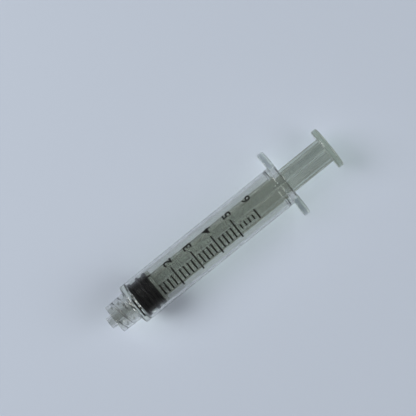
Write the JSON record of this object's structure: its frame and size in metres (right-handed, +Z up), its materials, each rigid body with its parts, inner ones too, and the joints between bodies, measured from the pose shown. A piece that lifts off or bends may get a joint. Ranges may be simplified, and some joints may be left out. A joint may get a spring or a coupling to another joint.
{
  "type": "luer lock syringe",
  "caption": "Disposable clear syringe with a locking luer nozzle, black rubber stopper, cross-shaped plunger rod, finger flange and printed millilitre scale.",
  "frame": {"origin": "under the middle of the syringe's length, on the surface that it lies on", "axes": "+X along the syringe from nozzle to thumb press, +Y across the flange wings, +Z up through the scale's side"},
  "size_m": [0.0906, 0.0248, 0.0163],
  "materials": {
    "barrel_plastic": "clear, slightly milky moulded polypropylene",
    "plunger_plastic": "translucent moulded polypropylene",
    "stopper_rubber": "black moulded rubber with a thin film of silicone oil",
    "scale_ink": "black printed ink"
  },
  "bodies": {
    "barrel": {"barrel": "barrel_plastic", "scale_print": "scale_ink"},
    "stopper": {"stopper": "stopper_rubber"},
    "plunger": {"plunger": "plunger_plastic"}
  },
  "joints": [
    {"name": "plunger_slide", "type": "slide", "parent": "barrel", "child": "stopper", "axis": [1, 0, 0], "range_m": [0, 0.0495]},
    {"name": "plunger_twist", "type": "hinge", "parent": "stopper", "child": "plunger", "pos_m": [-0.02647, 0, 0.00815], "axis": [1, 0, 0], "continuous": true}
  ]
}
